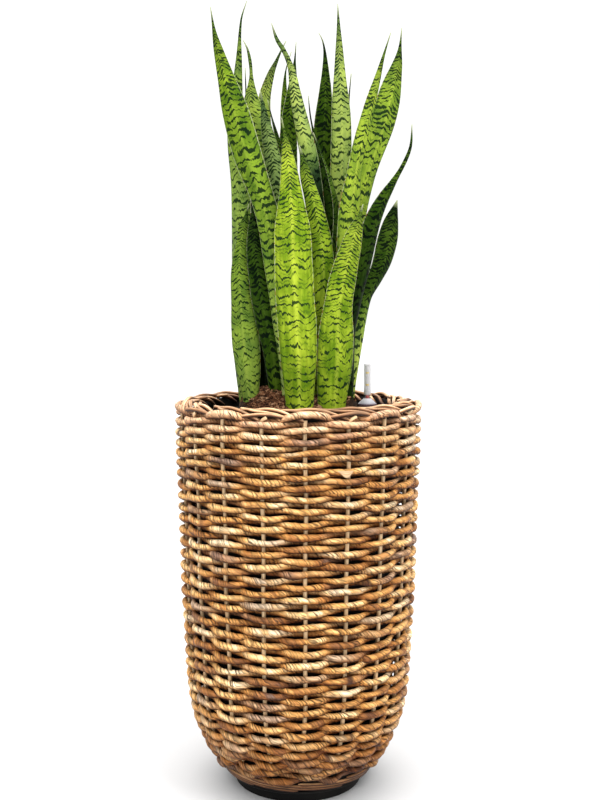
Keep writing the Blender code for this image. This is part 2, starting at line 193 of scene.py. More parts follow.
def put_in_place(name, bm, paint, slot, *nodes, sharp=180):
    """Closes the mesh's seams and stands the piece on the object, in place of its CAD nodes."""
    bmesh.ops.remove_doubles(bm, verts=bm.verts, dist=3e-6)
    bmesh.ops.recalc_face_normals(bm, faces=bm.faces)
    mesh = bpy.data.meshes.new(name)
    bm.to_mesh(mesh)
    bm.free()
    mesh.shade_smooth()
    if sharp < 180:
        mesh.set_sharp_from_angle(angle=math.radians(sharp))
    mesh.materials.append(paint)
    piece = stand(name, mesh)
    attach(piece, "root")
    if nodes:
        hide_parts(*nodes)
    return piece


plastic = moulded_plastic()
put_in_place("black_pot", turned(LINER_OUTLINE, 120), plastic, "plastic", "liner", sharp=35)


# Stakes. Eighteen round peeled rods, pale and smooth, that stand upright in the wall. The
# strands pass in front of one stake and behind the next.
STAKES = 18
STAKE_PITCH = 360 / STAKES
FIRST_STAKE = 3.5
STAKE_FOOT, STAKE_END = 62, 570.5
STAKE_RADIUS = 3.2
STAKE_DEPTH = 11.2        # from the crests of the strands to a stake's middle
WALL = (                  # height, radius over the crests of the strands
    (30, 124.5), (34, 128), (50, 137.5), (70, 148), (95, 159), (125, 167.5), (160, 172.5),
    (210, 176), (300, 181.5), (400, 185), (500, 189.5), (556, 191), (575, 191.5),
)


def cubic(start, end, lead_in, lead_out, t):
    """Place at t on a cubic curve from start to end with these slopes at its ends."""
    return (
        (2 * t**3 - 3 * t**2 + 1) * start + (t**3 - 2 * t**2 + t) * lead_in
        + (3 * t**2 - 2 * t**3) * end + (t**3 - t**2) * lead_out
    )


def cubic_heading(start, end, lead_in, lead_out, t):
    """Direction of the same curve at t."""
    return (
        (6 * t**2 - 6 * t) * start + (3 * t**2 - 4 * t + 1) * lead_in
        + (6 * t - 6 * t**2) * end + (3 * t**2 - 2 * t) * lead_out
    ).normalized()


def smooth_curve(points, at):
    """Value at a place on a smooth curve through (place, value) points."""
    last = len(points) - 1
    i = 0
    while i < last - 1 and at > points[i + 1][0]:
        i += 1
    before, start = points[max(i - 1, 0)], points[i]
    end, after = points[i + 1], points[min(i + 2, last)]
    span = end[0] - start[0]
    t = min(max((at - start[0]) / span, 0), 1)
    rise_in = (end[1] - before[1]) / (end[0] - before[0]) * span
    rise_out = (after[1] - start[1]) / (after[0] - start[0]) * span
    return cubic(start[1], end[1], rise_in, rise_out, t)


def wall_radius(height):
    """Radius over the crests of the strands at a height."""
    return smooth_curve(WALL, height)


def wall_frame(degrees, height, depth):
    """A place in the wall with its outward and upward directions, in millimetres."""
    turn = math.radians(degrees)
    slope = (wall_radius(height + 1) - wall_radius(height - 1)) / 2
    lean = math.atan(slope)
    level = Vector((math.sin(turn), -math.cos(turn), 0))
    outward = level * math.cos(lean) - Vector((0, 0, math.sin(lean)))
    upward = level * math.sin(lean) + Vector((0, 0, math.cos(lean)))
    place = level * wall_radius(height) + Vector((0, 0, height)) - outward * depth
    return place, outward, upward


def hollow(place):
    """How deep a place lies behind the strands' crests: 0 on them, 1 next to the pot. The rod and fibre
    colours take painted shade from it.
    """
    depth = min(wall_radius(place.z) - math.hypot(place.x, place.y), 588 - place.z)
    return min(max((depth - 1.5) / 14, 0), 1)


def fibre_mesh():
    """An empty mesh with a map along the fibres and, at each point, the strand's number and
    how deep it lies in the weave."""
    bm = bmesh.new()
    bm.loops.layers.uv.new("fibres")
    bm.verts.layers.float.new("strand")
    bm.verts.layers.float.new("hollow")
    return bm


def lay(bm, course, steps, sides, strand, lobes=0, lobe=0.0, pitch=1.0):
    """Lays one strand or rod along a course. course(share) gives its middle and its two half
    thicknesses as vectors, in millimetres. Lobes are the ribs of a twisted strand."""
    uv = bm.loops.layers.uv["fibres"]
    number = bm.verts.layers.float["strand"]
    deep = bm.verts.layers.float["hollow"]
    stations = [course(i / steps) for i in range(steps + 1)]
    lengths = [0.0]
    for a, b in zip(stations, stations[1:]):
        lengths.append(lengths[-1] + (b[0] - a[0]).length)
    skin = bmesh.ops.create_grid(bm, x_segments=steps, y_segments=sides, size=1, calc_uvs=True)
    for vert in skin["verts"]:
        i = round((vert.co.x + 1) / 2 * steps)
        j = round((vert.co.y + 1) / 2 * sides)
        middle, out, up = stations[i]
        around = math.tau * j / sides
        rib = 1 + lobe * math.cos(lobes * (around + math.tau * lengths[i] / pitch))
        place = middle + (out * math.cos(around) + up * math.sin(around)) * rib
        vert.co = place * MM
        vert[number], vert[deep] = strand, hollow(place)
        for loop in vert.link_loops:
            loop[uv].uv = (lengths[i] * MM, j / sides)


def painted_highlight_and_underside_shade(paint, around, *stops):
    """Painted light on a strand or rod, by its side: from painted shade on its lower side, 0, over its
    front, 0.5, to a painted highlight on its top, 1.
    """
    turn = maths(paint, "SINE", times(paint, around, math.tau))
    return ramp(paint, maths(paint, "MULTIPLY_ADD", turn, 0.5, 0.5), *stops)


def peeled_rod(name, pale, dark, streak, own_tone_and_painted_light=0.0):
    """Smooth peeled rod: fine grain along its length with pale streaks, darker nodes, painted shade the
    deeper it lies in the weave and, by a share, a tone of its own with a painted highlight on its top
    and painted shade below.
    """
    paint, surface = plain_material(name, 0.5, 0.3)
    fibres = node(paint, "UVMap", uv_map="fibres")
    along = axis(paint, fibres, 0)
    around = axis(paint, fibres, 1)
    strand = mark(paint, "strand")
    spread = node(paint, "CombineXYZ", {
        0: times(paint, along, 9.0), 1: times(paint, around, 7.0),
        2: times(paint, strand, 3.7)})
    grain = cloudy(paint, spread, 1.6, 5.0, 0.6)
    patch = node(paint, "CombineXYZ", {0: times(paint, along, 26.0), 1: strand, 2: strand})
    stain = cloudy(paint, patch, 1.0, 3.0)
    colour = ramp(paint, grain, (0.3, dark), (0.52, pale), (0.75, streak))
    shade = ramp(paint, stain, (0.34, 0.48), (0.5, 1.0), (0.70, 1.22))
    colour = tinted(paint, colour, shade)
    own = node(paint, "TexWhiteNoise", {"W": strand}, noise_dimensions="1D")
    own = ramp(
        paint, own, (0.0, (0.50, 0.42, 0.38)), (0.5, (0.92, 0.90, 0.88)), (1.0, (1.55, 1.68, 1.80)))
    colour = tinted(paint, colour, own, own_tone_and_painted_light)
    # Painted highlight on the rod's top and painted shade below it, by the same share as its own tone.
    colour = tinted(paint, colour, painted_highlight_and_underside_shade(
        paint, around, (0.28, (0.08, 0.045, 0.03)), (0.50, (0.34, 0.24, 0.18)),
        (0.68, (0.84, 0.77, 0.71)), (0.84, (1.20, 1.24, 1.28)), (0.94, (1.65, 1.90, 2.10)),
        (1.0, 1.15)), own_tone_and_painted_light)
    # Painted shade: the rod darker the deeper it lies behind the strands' crests.
    deep = mark(paint, "hollow")
    shade = ramp(
        paint, deep, (0.50, 1.0), (0.68, (0.60, 0.52, 0.45)), (0.95, (0.20, 0.15, 0.12)))
    wire(paint, tinted(paint, colour, shade), surface, "Base Color")
    wire(paint, ramp(paint, grain, (0.3, 0.62), (0.7, 0.42)), surface, "Roughness")
    relief(paint, surface, grain, 0.0006, 0.35)
    return paint


pale_rod = peeled_rod("pale_rod", (0.78, 0.55, 0.31), (0.50, 0.29, 0.14), (0.92, 0.76, 0.52))
rods = fibre_mesh()
for stake in range(STAKES):
    angle = FIRST_STAKE + STAKE_PITCH * stake

    def upright(share, angle=angle, stake=stake):
        height = STAKE_FOOT + (STAKE_END - STAKE_FOOT) * share
        sway = drift(height * 0.012, stake * 3.1, 0.5)
        place, outward, upward = wall_frame(angle + 0.7 * sway, height, STAKE_DEPTH + 0.6 * sway)
        aside = outward.cross(upward)
        thick = STAKE_RADIUS * (1 + 0.06 * drift(height * 0.03, stake * 5.3, 4.0))
        return place, outward * thick, aside * thick

    lay(rods, upright, 56, 8, stake)
put_in_place("stakes", rods, pale_rod, "weave", "basket")


# Weave. Sixty-three rows of dried plant fibre, each strand a long leaf sheath twisted by hand
# into a cord half a finger thick, wound tight round the stakes from the foot to the rim.
ROWS = 63
LOWEST_ROW, HIGHEST_ROW = 38.5, 563.0
LOWEST_STRAND, HIGHEST_STRAND = 36, 580       # how far a wavy strand may stray
TWIST = 26.0              # length of one turn of the twist, in millimetres
WRAPS = 2                 # folds that show in one turn
KNOTS = ((60, -33), (52, 31), (46, -62), (39, 12), (33, 58), (27, -24), (19, 40), (55, 118), (42, 171),
         (31, -128), (22, 96), (13, -70))     # row and angle of the knots where a strand is spliced


def row_heights():
    """Heights of the rows, from the foot, at about equal distances along the wall."""
    steps = 500
    heights = [LOWEST_ROW + (HIGHEST_ROW - LOWEST_ROW) * i / steps for i in range(steps + 1)]
    lengths = [0.0]
    for low, high in zip(heights, heights[1:]):
        lengths.append(lengths[-1] + math.hypot(high - low, wall_radius(high) - wall_radius(low)))
    found, i = [], 0
    for row in range(ROWS):
        share = row / (ROWS - 1)
        want = lengths[-1] * (share - 0.012 * math.sin(math.tau * share))
        while i < steps and lengths[i] < want - 1e-6:
            i += 1
        found.append(heights[i])
    return found


def strand_course(row, height, wave=0.0, size=1.0):
    """The course of one row: over one stake, under the next, with a hand-made unevenness. It
    starts and ends behind a stake."""
    girth = size + 0.13 * drift(row * 1.73, 8.1, 2.2)
    packed = 1.12 - 0.12 * min(max((height - 60) / 70, 0), 1)
    loose = 1 - min(max((height - 50) / 70, 0), 1)
    knots = [angle for knot_row, angle in KNOTS if knot_row == row]
    first = FIRST_STAKE + STAKE_PITCH * (2 * (row * 7 % 9) + (row + 1) % 2)

    def course(share):
        degrees = first + 360 * share
        turn = math.radians(degrees)
        ring = Vector((math.cos(turn), math.sin(turn), 0))
        stray = loose * 3.0 * noise.noise(ring * 1.6 + Vector((0, 0, row * 3.1)))
        front = math.cos(STAKES / 2 * (turn - math.radians(FIRST_STAKE)) + math.pi * row + stray)
        front *= 1.5 - 0.5 * front * front
        rise = 3.4 * noise.noise(ring * 2.3 + Vector((0, 0, row * 0.17))) + wave * front
        rise += (2.8 + 2.6 * loose) * noise.noise(ring * 5.0 + Vector((0, 0, row * 2.9)))
        swell = girth * (1 + 0.32 * noise.noise(ring * 7.0 + Vector((3.0, 0, row * 4.3))))
        for knot in knots:
            off = ((degrees - knot + 180) % 360 - 180) / 2.2
            swell *= 1 + 0.24 * math.exp(-off * off)
        depth = STAKE_DEPTH - (6.3 if front > 0 else 4.2) * front * (1 - 0.25 * loose) - 1.5 * loose
        place, outward, upward = wall_frame(
            degrees, min(max(height + rise, LOWEST_STRAND), HIGHEST_STRAND), depth)
        thick = (4.25 + 0.55 * front) * (0.5 + 0.5 * swell)
        tall = (4.85 + 0.15 * front) * swell * packed
        return place, outward * thick, upward * tall

    return course


def lay_strand(bm, row, *course):
    """Lays the twisted strand of one row; course is what strand_course takes after the row."""
    lay(bm, strand_course(row, *course), 300, 10, row, WRAPS, 0.055, TWIST)


def twisted_fibre():
    """Twisted dry sheaths: slanting wraps with dark seams, each wrap a tone of its own, from
    straw to brown, and painted shade where the strand dives behind its neighbours."""
    paint, surface = plain_material("twisted_fibre", 0.5, 0.2)
    fibres = node(paint, "UVMap", uv_map="fibres")
    along = axis(paint, fibres, 0)
    around = axis(paint, fibres, 1)
    strand = mark(paint, "strand")
    deep = mark(paint, "hollow")
    number = times(paint, strand, 7.31)

    def patches(scale, other, detail):
        where = node(paint, "CombineXYZ", {0: times(paint, along, scale), 1: number, 2: other})
        return cloudy(paint, where, detail=detail)

    twist = maths(paint, "ADD", times(paint, along, 1000.0 / TWIST), around)
    twist = maths(paint, "ADD", twist, times(paint, patches(38.0, 0.0, 2.0), 1.1))
    twist = times(paint, twist, WRAPS)
    wrap = node(paint, "CombineXYZ", {0: maths(paint, "FLOOR", twist), 1: number})
    shade = node(paint, "TexWhiteNoise", {"Vector": wrap}, noise_dimensions="2D")
    nearest = node(paint, "CombineXYZ", {0: maths(paint, "ROUND", twist), 1: number})
    open_seam = node(paint, "TexWhiteNoise", {"Vector": nearest}, noise_dimensions="2D")
    open_seam = ramp(paint, open_seam, (0.38, 0.12), (0.62, 1.0))
    tone = maths(paint, "MULTIPLY_ADD", patches(8.0, 0.0, 3.0), 1.8, -0.54)
    tone = maths(paint, "ADD", tone, times(paint, shade, 0.26))
    base = ramp(
        paint, tone, (0.0, (0.20, 0.135, 0.10)), (0.10, (0.13, 0.050, 0.022)),
        (0.26, (0.35, 0.140, 0.036)), (0.42, (0.58, 0.280, 0.078)), (0.60, (0.72, 0.425, 0.160)),
        (0.80, (0.90, 0.68, 0.40)), (0.97, (0.52, 0.36, 0.23)))
    worn = ramp(paint, patches(6.0, 11.0, 3.0), (0.54, 0.0), (0.66, 0.8))
    grey = blend(paint, shade, (0.22, 0.130, 0.085), (0.46, 0.33, 0.235))
    base = blend(paint, worn, base, grey)
    row = maths(paint, "DIVIDE", strand, ROWS)
    top = ramp(paint, row, (0.93, 0.0), (1.0, 0.65))
    base = blend(paint, top, base, (0.66, 0.42, 0.27))
    lines = node(paint, "CombineXYZ", {
        0: times(paint, along, 14.0), 1: times(paint, twist, 5.0), 2: number})
    grain = cloudy(paint, lines, 1.0, 4.0, 0.6)
    base = tinted(paint, base, ramp(paint, grain, (0.35, 0.36), (0.47, 0.92), (0.63, 1.40)))
    ridge = maths(paint, "PINGPONG", maths(paint, "MULTIPLY_ADD", twist, 2.2, grain), 0.5)
    striped = ramp(paint, patches(34.0, 2.0, 2.0), (0.44, 0.2), (0.58, 1.0))
    base = blend(paint, striped, base, tinted(paint, base, ramp(
        paint, ridge, (0.0, 0.15), (0.09, 0.56), (0.20, 0.97), (0.5, 1.24))))
    # Painted highlight on the top of each strand and painted shade on its lower side.
    base = tinted(paint, base, painted_highlight_and_underside_shade(
        paint, around, (0.05, (0.04, 0.02, 0.012)), (0.17, (0.28, 0.18, 0.13)),
        (0.33, (0.72, 0.60, 0.51)), (0.53, (0.99, 0.94, 0.89)), (0.76, (1.40, 1.46, 1.55)),
        (1.0, (1.26, 1.29, 1.35))))
    # Painted shade: the lowest rows darker towards the foot.
    base = tinted(paint, base, ramp(
        paint, row, (0.02, (0.43, 0.33, 0.26)), (0.12, (0.65, 0.54, 0.47)), (0.24, 1.0)))
    # Painted shade just after each seam, under the overlapping fold, rising to a painted highlight near
    # the fold's far edge, where the seam is open.
    edge = maths(paint, "FRACT", twist)
    painted_fold_shading = ramp(paint, edge, (0.0, 0.58), (0.14, 0.82), (0.45, 1.0), (0.82, 1.14), (1.0, 1.04))
    base = blend(paint, open_seam, base, tinted(paint, base, painted_fold_shading))
    fold = maths(paint, "PINGPONG", twist, 0.5)
    width = ramp(paint, patches(60.0, around, 1.0), (0.42, 0.0), (0.62, 0.16))
    seam = maths(paint, "DIVIDE", fold, maths(paint, "ADD", width, 0.002), clamp=True)
    seam = times(paint, maths(paint, "SUBTRACT", 1.0, seam), open_seam)
    base = blend(paint, times(paint, seam, 0.92), base, (0.030, 0.009, 0.005))
    stain = ramp(paint, patches(21.0, 5.0, 3.0), (0.66, 0.0), (0.72, 0.85))
    base = blend(paint, stain, base, (0.045, 0.016, 0.013))
    # Painted shade: darker the deeper the strand lies behind the crests, where it dives behind its
    # neighbours.
    dim = ramp(
        paint, deep, (0.14, 1.0), (0.36, (0.92, 0.86, 0.78)), (0.60, (0.66, 0.55, 0.45)),
        (0.80, (0.36, 0.26, 0.19)), (1.0, (0.12, 0.08, 0.055)))
    wire(paint, tinted(paint, base, dim), surface, "Base Color")
    wire(paint, ramp(paint, grain, (0.3, 0.62), (0.7, 0.36)), surface, "Roughness")
    groove = maths(paint, "POWER", times(paint, fold, 2.0), 0.4)
    groove = times(paint, maths(paint, "SUBTRACT", groove, 1.0), open_seam)
    groove = maths(paint, "MULTIPLY_ADD", ridge, striped, groove)
    relief(paint, surface, maths(paint, "MULTIPLY_ADD", grain, 1.5, groove), 0.0018, 1.0)
    return paint


def loose_flap(share):
    """The corner of a sheath that stands off the wall at the front, right of the middle."""
    tall = 4.6 * math.sin(math.pi * share**1.3) + 0.5
    place, outward, upward = wall_frame(
        17.0 + 6.9 * share, 500.5 - 0.5 * share - tall, -0.4 - 1.2 * share)
    return place, outward * 0.5, upward * tall


fibre = twisted_fibre()
heights = row_heights()
for name, first, last in (("weave_low", 1, 21), ("weave_middle", 22, 42), ("weave_high", 43, ROWS)):
    strands = fibre_mesh()
    for row in range(first, last + 1):
        lay_strand(strands, row, heights[row - 1])
    put_in_place(name, strands, fibre, "weave", "basket")
flap = fibre_mesh()
lay(flap, loose_flap, 14, 8, 1)
dry_sheath = peeled_rod("dry_sheath", (0.64, 0.43, 0.24), (0.40, 0.22, 0.10), (0.78, 0.60, 0.38))
put_in_place("weave_flap", flap, dry_sheath, "weave", "basket")


# Foot border. Thin smooth rods, laid slanting one over the next, that bind the lowest rows
# and rest on the pot's flange.
FOOT_RODS = 10
FOOT_ROD = 2.5            # half a rod's thickness
brown_rod = peeled_rod("brown_rod", (0.46, 0.240, 0.105), (0.20, 0.080, 0.034), (0.62, 0.40, 0.22), 1.0)
rods = fibre_mesh()
for rod in range(FOOT_RODS):

    def slanting(share, rod=rod):
        degrees = 360 / FOOT_RODS * (rod + 3 * share)
        turn = math.radians(degrees)
        level = Vector((math.sin(turn), -math.cos(turn), 0))
        sway = 0.5 * drift(degrees * 0.05, rod * 2.0, 0)
        radius = 120.5 - 10 * share + sway
        height = 36.5 - 13.8 * share + sway
        end = min(1, 24 * share + 0.35, 24 * (1 - share) + 0.35)
        half = FOOT_ROD * end
        return level * radius + Vector((0, 0, height)), level * half, Vector((0, 0, half))

    lay(rods, slanting, 64, 8, rod)
bmesh.ops.holes_fill(rods, edges=rods.edges, sides=12)
put_in_place("foot_rods", rods, brown_rod, "rods", "foot_border")


# Rim. One more thick strand waves over every second stake and under the next. The stakes' long
# ends are bent over and laid in pairs, each from inside the pot's lip, over the crest and
# down the outside to the next but one, where it is tucked in.
RIM_HEIGHT, RIM_WAVE, RIM_GIRTH = 571.5, 4.8, 1.22        # girth beside a strand of the wall


def bent_rod(angle, thick, stops, seed):
    """A rod's course through stops of (degrees from its stake, radius, height)."""
    points = []
    for degrees, radius, height in stops:
        turn = math.radians(angle + degrees)
        sway = drift(degrees * 0.11, seed, 1.0)
        reach = radius + sway
        points.append(Vector((reach * math.sin(turn), -reach * math.cos(turn), height + sway)))
    spans = len(points) - 1

    def course(share):
        i = min(int(share * spans), spans - 1)
        t = share * spans - i
        start, end = points[i], points[i + 1]
        lead_in = (end - (points[i - 1] if i else start)) / 2
        lead_out = ((points[i + 2] if i + 2 <= spans else end) - start) / 2
        place = cubic(start, end, lead_in, lead_out, t)
        heading = cubic_heading(start, end, lead_in, lead_out, t)
        level = Vector((place.x, place.y, 0)).normalized()
        across = (level - heading * level.dot(heading)).normalized()
        end_size = min(1, 14 * share + 0.4, 14 * (1 - share) + 0.4)
        girth = thick * (1 + 0.08 * drift(share * 4, seed, 6.0)) * end_size
        return place, across * girth, across.cross(heading) * girth

    return course


strands = fibre_mesh()
lay_strand(strands, ROWS + 1, RIM_HEIGHT, RIM_WAVE, RIM_GIRTH)
put_in_place("rim_strand", strands, fibre, "weave", "rim_border")

rods = fibre_mesh()
pale_tips = fibre_mesh()
for stake in range(STAKES):
    angle = FIRST_STAKE + STAKE_PITCH * stake
    shift = 1.6 * drift(stake * 1.9, 5.0, 3.0)
    lay(rods, bent_rod(angle + shift, 3.1, (
        (-21, 151.3, 568), (-16, 152.3, 577), (-11.5, 158.3, 581.3), (-5, 164.5, 582),
        (2.5, 169.5, 584.5 + shift), (9, 174.5, 581.5), (14.5, 179, 576), (20, 182.5, 569)),
        stake * 1.1), 44, 8, stake)
    if math.cos(math.radians(angle)) < 0.35:
        lay(rods, bent_rod(angle + 9 - shift, 3.0, (
            (-20, 151.3, 566), (-15, 152.2, 573), (-10, 156.5, 579), (-4, 163, 581.3), (2, 168, 581.5),
            (9, 173.5, 577.5), (15, 176.5, 571)), stake * 1.3), 40, 8, stake + 60)
    lay(rods, bent_rod(angle + 1.5 * shift, 2.8, (
        (-15, 154.5, 582.2), (-9, 160, 582), (-3, 170, 581), (2.5, 175.5, 580.8 + shift), (9, 180, 577),
        (15, 180, 570)), stake * 1.7), 36, 8, stake + 20)
    if stake % 2:
        lay(rods, bent_rod(angle + 0.7 * shift, 2.9, (
            (-14, 176, 571), (-7, 182, 575.5), (1, 184.5, 578.5), (8, 183.5, 577), (15, 177, 571)),
            stake * 2.3), 30, 8, stake + 40)
        lay(pale_tips, bent_rod(angle, 2.4, (
            (-0.4, 181, 563), (0, 182.5, 568), (1.2, 185, 572.4), (3.0, 186.4, 575)),
            stake * 3.1), 16, 8, stake)
for mesh_of_rods in (rods, pale_tips):
    bmesh.ops.holes_fill(mesh_of_rods, edges=mesh_of_rods.edges, sides=12)
rim_rod = peeled_rod("rim_rod", (0.50, 0.270, 0.130), (0.16, 0.065, 0.028), (0.74, 0.50, 0.32), 1.0)
put_in_place("rim_rods", rods, rim_rod, "rods", "rim_border")
put_in_place("rim_stake_ends", pale_tips, pale_rod, "weave", "rim_border")


# Insert. The black culture pot hangs by its flat deck on the liner's ledge. Its own solid has
# the right form, so it only gets the moulded plastic.
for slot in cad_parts["insert"].material_slots:
    slot.material = plastic


# Granules. Fired clay, heaped over the roots and lower at the front, where the front leaves
# show down to their feet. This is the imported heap; the loose grains further on lie on it.
SOIL_EDGE, SOIL_CROWN = 566, 605
HEAP_RINGS = 18


def fired_clay(name, light):
    """Red-brown fired clay, dull and pitted, each grain a little different; light scales all its
    colours, and a low share gives a copy in painted shade.
    """
    paint, surface = plain_material(name, 0.9, 0.15)
    place = own_place(paint)
    cell = node(paint, "TexVoronoi", {"Vector": place, "Scale": 230.0}, output=1)
    pits = cloudy(paint, place, 700.0, 4.0)
    shade = axis(paint, cell, 0)
    base = ramp(paint, shade, *((stop, tuple(c * light for c in colour)) for stop, *colour in (
        (0.0, 0.040, 0.015, 0.007), (0.4, 0.14, 0.055, 0.023), (0.75, 0.28, 0.130, 0.060),
        (1.0, 0.46, 0.27, 0.15))))
    base = tinted(paint, base, ramp(paint, pits, (0.3, 0.55), (0.6, 1.1)))
    wire(paint, base, surface, "Base Color")
    relief(paint, surface, pits, 0.0008, 0.6)
    return paint


def soil_top(radius, x, y):
    """Height of the heap at a place: a flat crown, lower at the front, higher at the right."""
    heap = SOIL_EDGE + 6 + (SOIL_CROWN - SOIL_EDGE - 6) * max(0, 1 - (radius / 95) ** 4) ** 0.8
    heap -= 15 * min(max((-y - 30) / 35, 0), 1) * min(max((80 - x) / 14, 0), 1)
    heap += 9 * math.exp(-((x - 77) ** 2 + (y + 36) ** 2) / 250)
    return max(heap, SOIL_EDGE) + 3 * noise.noise(Vector((x, y, 0)) * 0.13)


heap = bmesh.new()
bmesh.ops.create_grid(heap, x_segments=72, y_segments=HEAP_RINGS, size=1)
for vert in heap.verts:
    turn = math.pi * (vert.co.x + 1)
    ring = round((vert.co.y + 1) / 2 * HEAP_RINGS)
    radius = (0, 83.7, 92.2)[ring] if ring < 3 else 91.6 * (HEAP_RINGS - ring) / (HEAP_RINGS - 3)
    x, y = radius * math.sin(turn), -radius * math.cos(turn)
    z = (363.3, 363.3, SOIL_EDGE - 1.5)[ring] if ring < 3 else soil_top(radius, x, y)
    vert.co = Vector((x, y, z)) * MM
# The heap under the grains is the clay at 0.15 of its colour: painted shade in the gaps between the
# loose grains.
put_in_place("packed_clay", heap, fired_clay("packed_clay", 0.15), "clay", "substrate", sharp=50)
